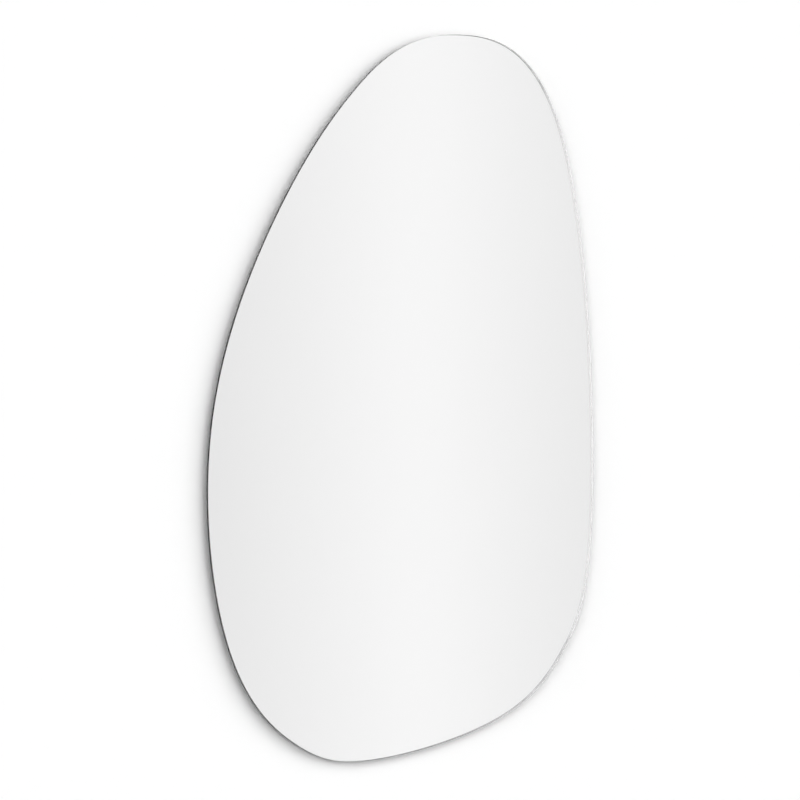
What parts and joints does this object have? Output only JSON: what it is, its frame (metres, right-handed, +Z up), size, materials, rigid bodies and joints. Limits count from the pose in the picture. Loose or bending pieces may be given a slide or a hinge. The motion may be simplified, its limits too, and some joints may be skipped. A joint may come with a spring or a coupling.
{
  "type": "wall mirror",
  "caption": "Frameless wall mirror with an irregular pebble outline, polished edge and hidden hook-and-roller wall hanging.",
  "frame": {"origin": "on the wall, midway between the axes of the two wall screws, on the line where the mirror balances", "axes": "+Z up; +Y into the wall, so the mirror faces -Y; +X to the right as seen from the room"},
  "size_m": [0.5, 0.0574, 0.8],
  "materials": {
    "clear_glass": "polished float glass",
    "silver": "silver",
    "back_paint": "grey protective paint",
    "safety_film": "satin woven-look film",
    "zinc_plated_sheet": "zinc-plated pressed sheet",
    "zinc_plated_roller": "zinc-plated, turned",
    "zinc_plated_screw": "bright zinc",
    "foam_adhesive": "white acrylic foam",
    "rubber": "matte",
    "nylon": "moulded nylon"
  },
  "bodies": {
    "wall_fixings": {"left_wall_screw": "zinc_plated_screw", "left_washer": "zinc_plated_roller", "left_wall_plug": "nylon", "right_wall_screw": "zinc_plated_screw", "right_washer": "zinc_plated_roller", "right_wall_plug": "nylon"},
    "mirror": {"mirror_glass": "clear_glass", "silver_layer": "silver", "back_paint": "back_paint", "safety_film": "safety_film", "left_hanger_plate": "zinc_plated_sheet", "left_adhesive_pad": "foam_adhesive", "left_rubber_spacer": "rubber", "left_spacer_disc": "foam_adhesive", "right_hanger_plate": "zinc_plated_sheet", "right_adhesive_pad": "foam_adhesive", "right_rubber_spacer": "rubber", "right_spacer_disc": "foam_adhesive"},
    "left_roller": {"left_eccentric_roller": "zinc_plated_roller"},
    "right_roller": {"right_eccentric_roller": "zinc_plated_roller"}
  },
  "joints": [
    {"name": "mirror_lift", "type": "slide", "parent": "wall_fixings", "child": "mirror", "axis": [0, 0, 1], "range_m": [0, 0.015]},
    {"name": "left_roller_turn", "type": "hinge", "parent": "wall_fixings", "child": "left_roller", "pos_m": [-0.09, 0, 0], "axis": [0, 1, 0], "continuous": true},
    {"name": "right_roller_turn", "type": "hinge", "parent": "wall_fixings", "child": "right_roller", "pos_m": [0.09, 0, 0], "axis": [0, 1, 0], "continuous": true}
  ]
}
